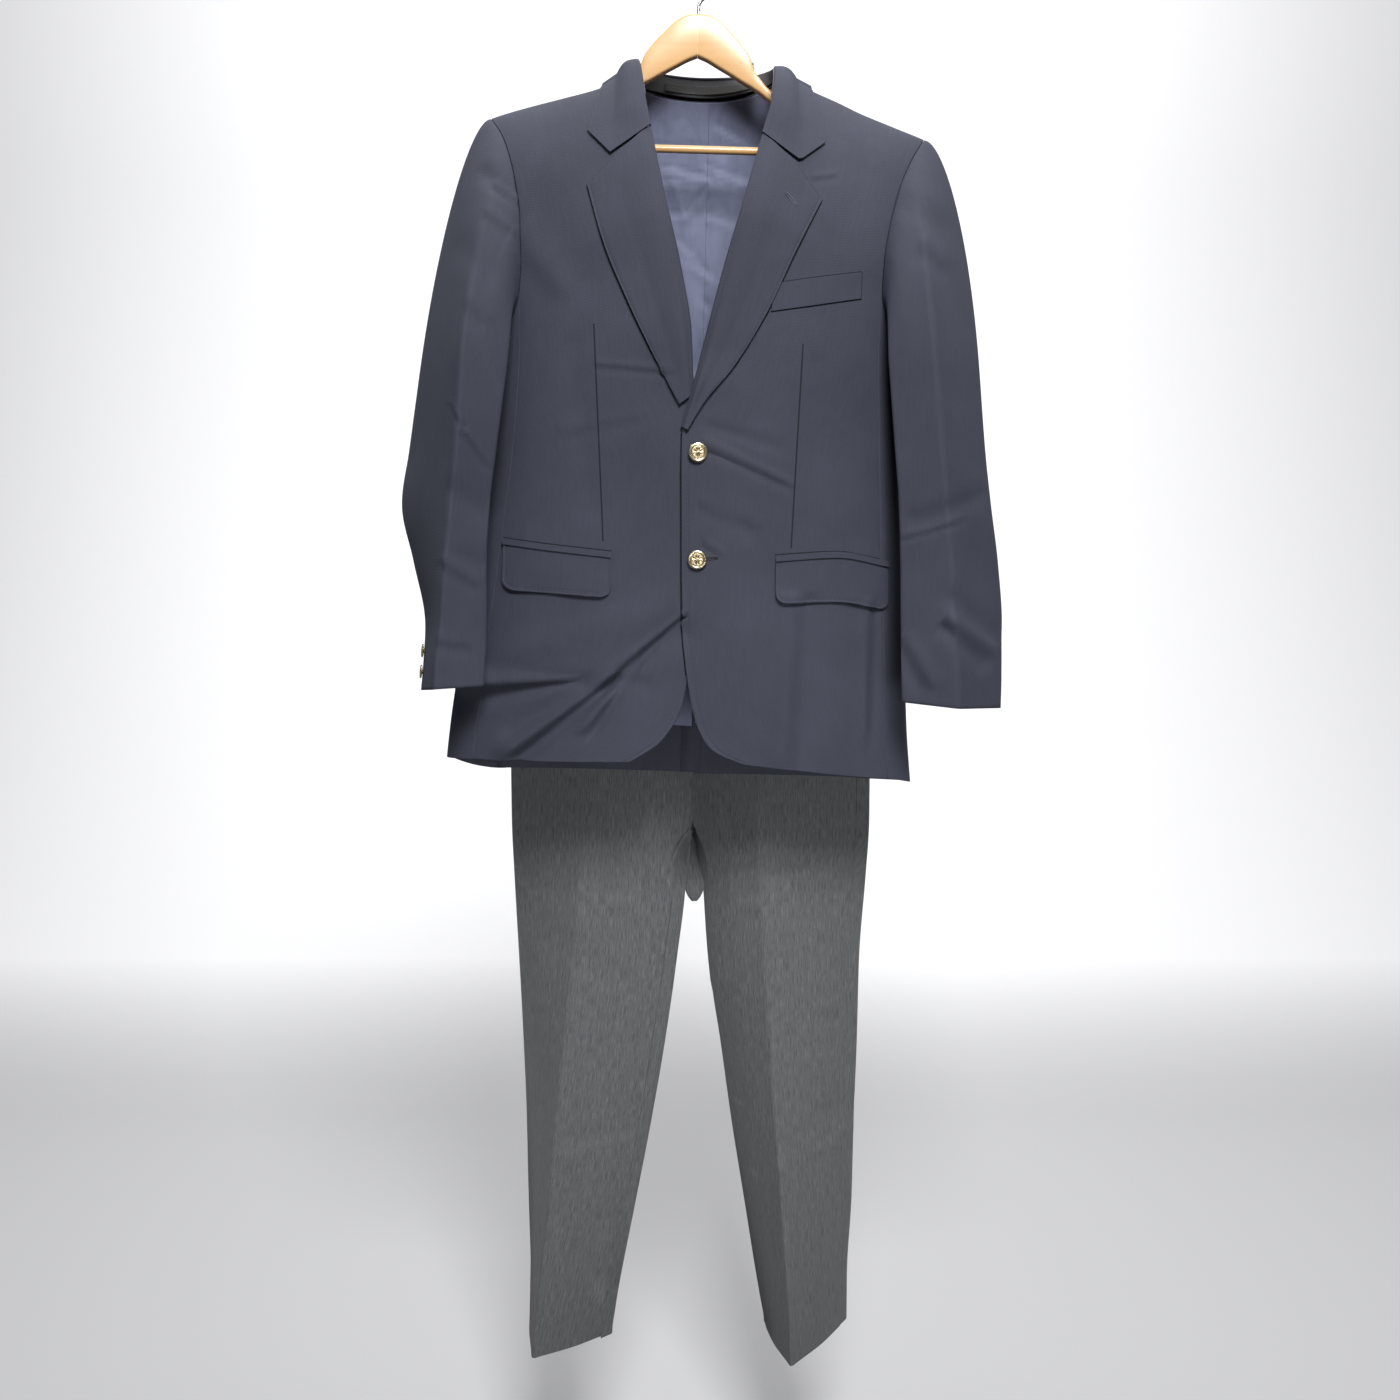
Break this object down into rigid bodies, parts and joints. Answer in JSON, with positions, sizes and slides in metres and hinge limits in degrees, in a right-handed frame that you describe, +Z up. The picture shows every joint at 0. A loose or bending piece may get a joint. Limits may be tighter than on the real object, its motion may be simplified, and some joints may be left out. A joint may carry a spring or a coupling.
{
  "type": "school uniform on a hanger",
  "caption": "Navy school blazer buttoned on a wooden hanger, with grey trousers hung behind it, all in one rigid body.",
  "frame": {"origin": "inside top of the hanger's hook crook, where it bears on a rail or peg", "axes": "+Z up along the hanging garment; -Y is the front of the blazer; +X is the right of a front view"},
  "size_m": [0.6388, 0.2722, 1.5606],
  "materials": {
    "navy_wool": "fine smooth worsted wool with a slight sheen",
    "undercollar": "dark felted undercollar cloth",
    "lining": "smooth satin lining",
    "grey_wool": "melange grey with fine upright streaks",
    "maple": "clear satin lacquer",
    "brass": "antique gold, domed rim",
    "steel": "bright plated wire"
  },
  "bodies": {
    "root": {"back_left": "navy_wool", "back_lining_left": "lining", "back_lining_right": "lining", "back_right": "navy_wool", "breast_welt": "navy_wool", "button_lower": "brass", "button_upper": "brass", "clip_rod": "steel", "collar_leaf": "navy_wool", "collar_stand": "undercollar", "cuff_button_left_lower": "brass", "cuff_button_left_upper": "brass", "cuff_button_right_lower": "brass", "cuff_button_right_upper": "brass", "drop_wire_left": "steel", "drop_wire_right": "steel", "flap_left": "navy_wool", "flap_right": "navy_wool", "front_left": "navy_wool", "front_right": "navy_wool", "hanger_arm_left": "maple", "hanger_arm_right": "maple", "hanger_bar": "maple", "hanger_hook": "steel", "hanger_loop": "undercollar", "jet_left": "navy_wool", "jet_right": "navy_wool", "lapel_left": "navy_wool", "lapel_right": "navy_wool", "side_left": "navy_wool", "side_right": "navy_wool", "top_sleeve_left": "navy_wool", "top_sleeve_right": "navy_wool", "trouser_back_left": "grey_wool", "trouser_back_right": "grey_wool", "trouser_clip_left": "steel", "trouser_clip_right": "steel", "trouser_front_left": "grey_wool", "trouser_front_right": "grey_wool", "under_sleeve_left": "navy_wool", "under_sleeve_right": "navy_wool", "waistband": "grey_wool"}
  },
  "joints": []
}
